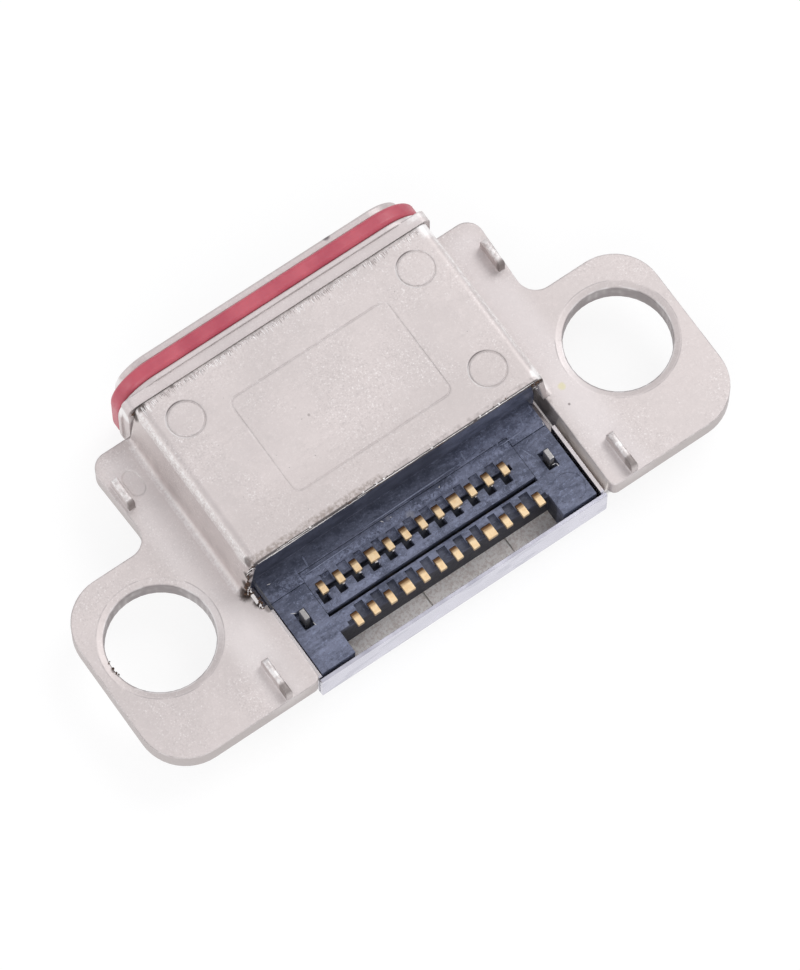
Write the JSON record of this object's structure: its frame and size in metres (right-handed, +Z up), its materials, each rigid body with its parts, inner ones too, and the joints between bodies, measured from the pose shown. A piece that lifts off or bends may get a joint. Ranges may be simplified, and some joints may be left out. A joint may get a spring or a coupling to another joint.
{
  "type": "reversible plug socket with mounting ears",
  "caption": "Flat reversible plug socket with a sealed mouth, a folded steel bracket with two screw ears, and two rows of solder tails.",
  "frame": {"origin": "midway between the two screw holes, on the ears' upper face, which is also the height of the mouth's axis", "axes": "+X along the ears towards the left ear in the picture; -Y out of the mouth; +Z up to the side with the hood and the solder tails"},
  "size_m": [0.0176, 0.0092, 0.0034],
  "materials": {
    "bracket_steel": "dull nickel plating with fine speckle",
    "shell_steel": "drawn, satin nickel plating",
    "red_silicone": "smooth, slightly shiny",
    "blue_plastic": "dark blue-grey moulded plastic with flow marks",
    "plate_steel": "stamped",
    "cover_steel": "bright, mirror-like plating",
    "gold_plate": "satin gold plating"
  },
  "bodies": {
    "root": {"bracket": "bracket_steel", "mouth_shell": "shell_steel", "seal_ring": "red_silicone", "tongue_housing": "blue_plastic", "front_contact_carrier": "blue_plastic", "rear_contact_carrier": "blue_plastic", "mid_plate": "plate_steel", "ground_plate_upper": "plate_steel", "ground_plate_lower": "plate_steel", "rear_cover": "cover_steel", "contact_a1": "gold_plate", "contact_a2": "gold_plate", "contact_a3": "gold_plate", "contact_a4": "gold_plate", "contact_a5": "gold_plate", "contact_a6": "gold_plate", "contact_a7": "gold_plate", "contact_a8": "gold_plate", "contact_a9": "gold_plate", "contact_a10": "gold_plate", "contact_a11": "gold_plate", "contact_a12": "gold_plate", "contact_b1": "gold_plate", "contact_b2": "gold_plate", "contact_b3": "gold_plate", "contact_b4": "gold_plate", "contact_b5": "gold_plate", "contact_b6": "gold_plate", "contact_b7": "gold_plate", "contact_b8": "gold_plate", "contact_b9": "gold_plate", "contact_b10": "gold_plate", "contact_b11": "gold_plate", "contact_b12": "gold_plate"}
  },
  "joints": []
}
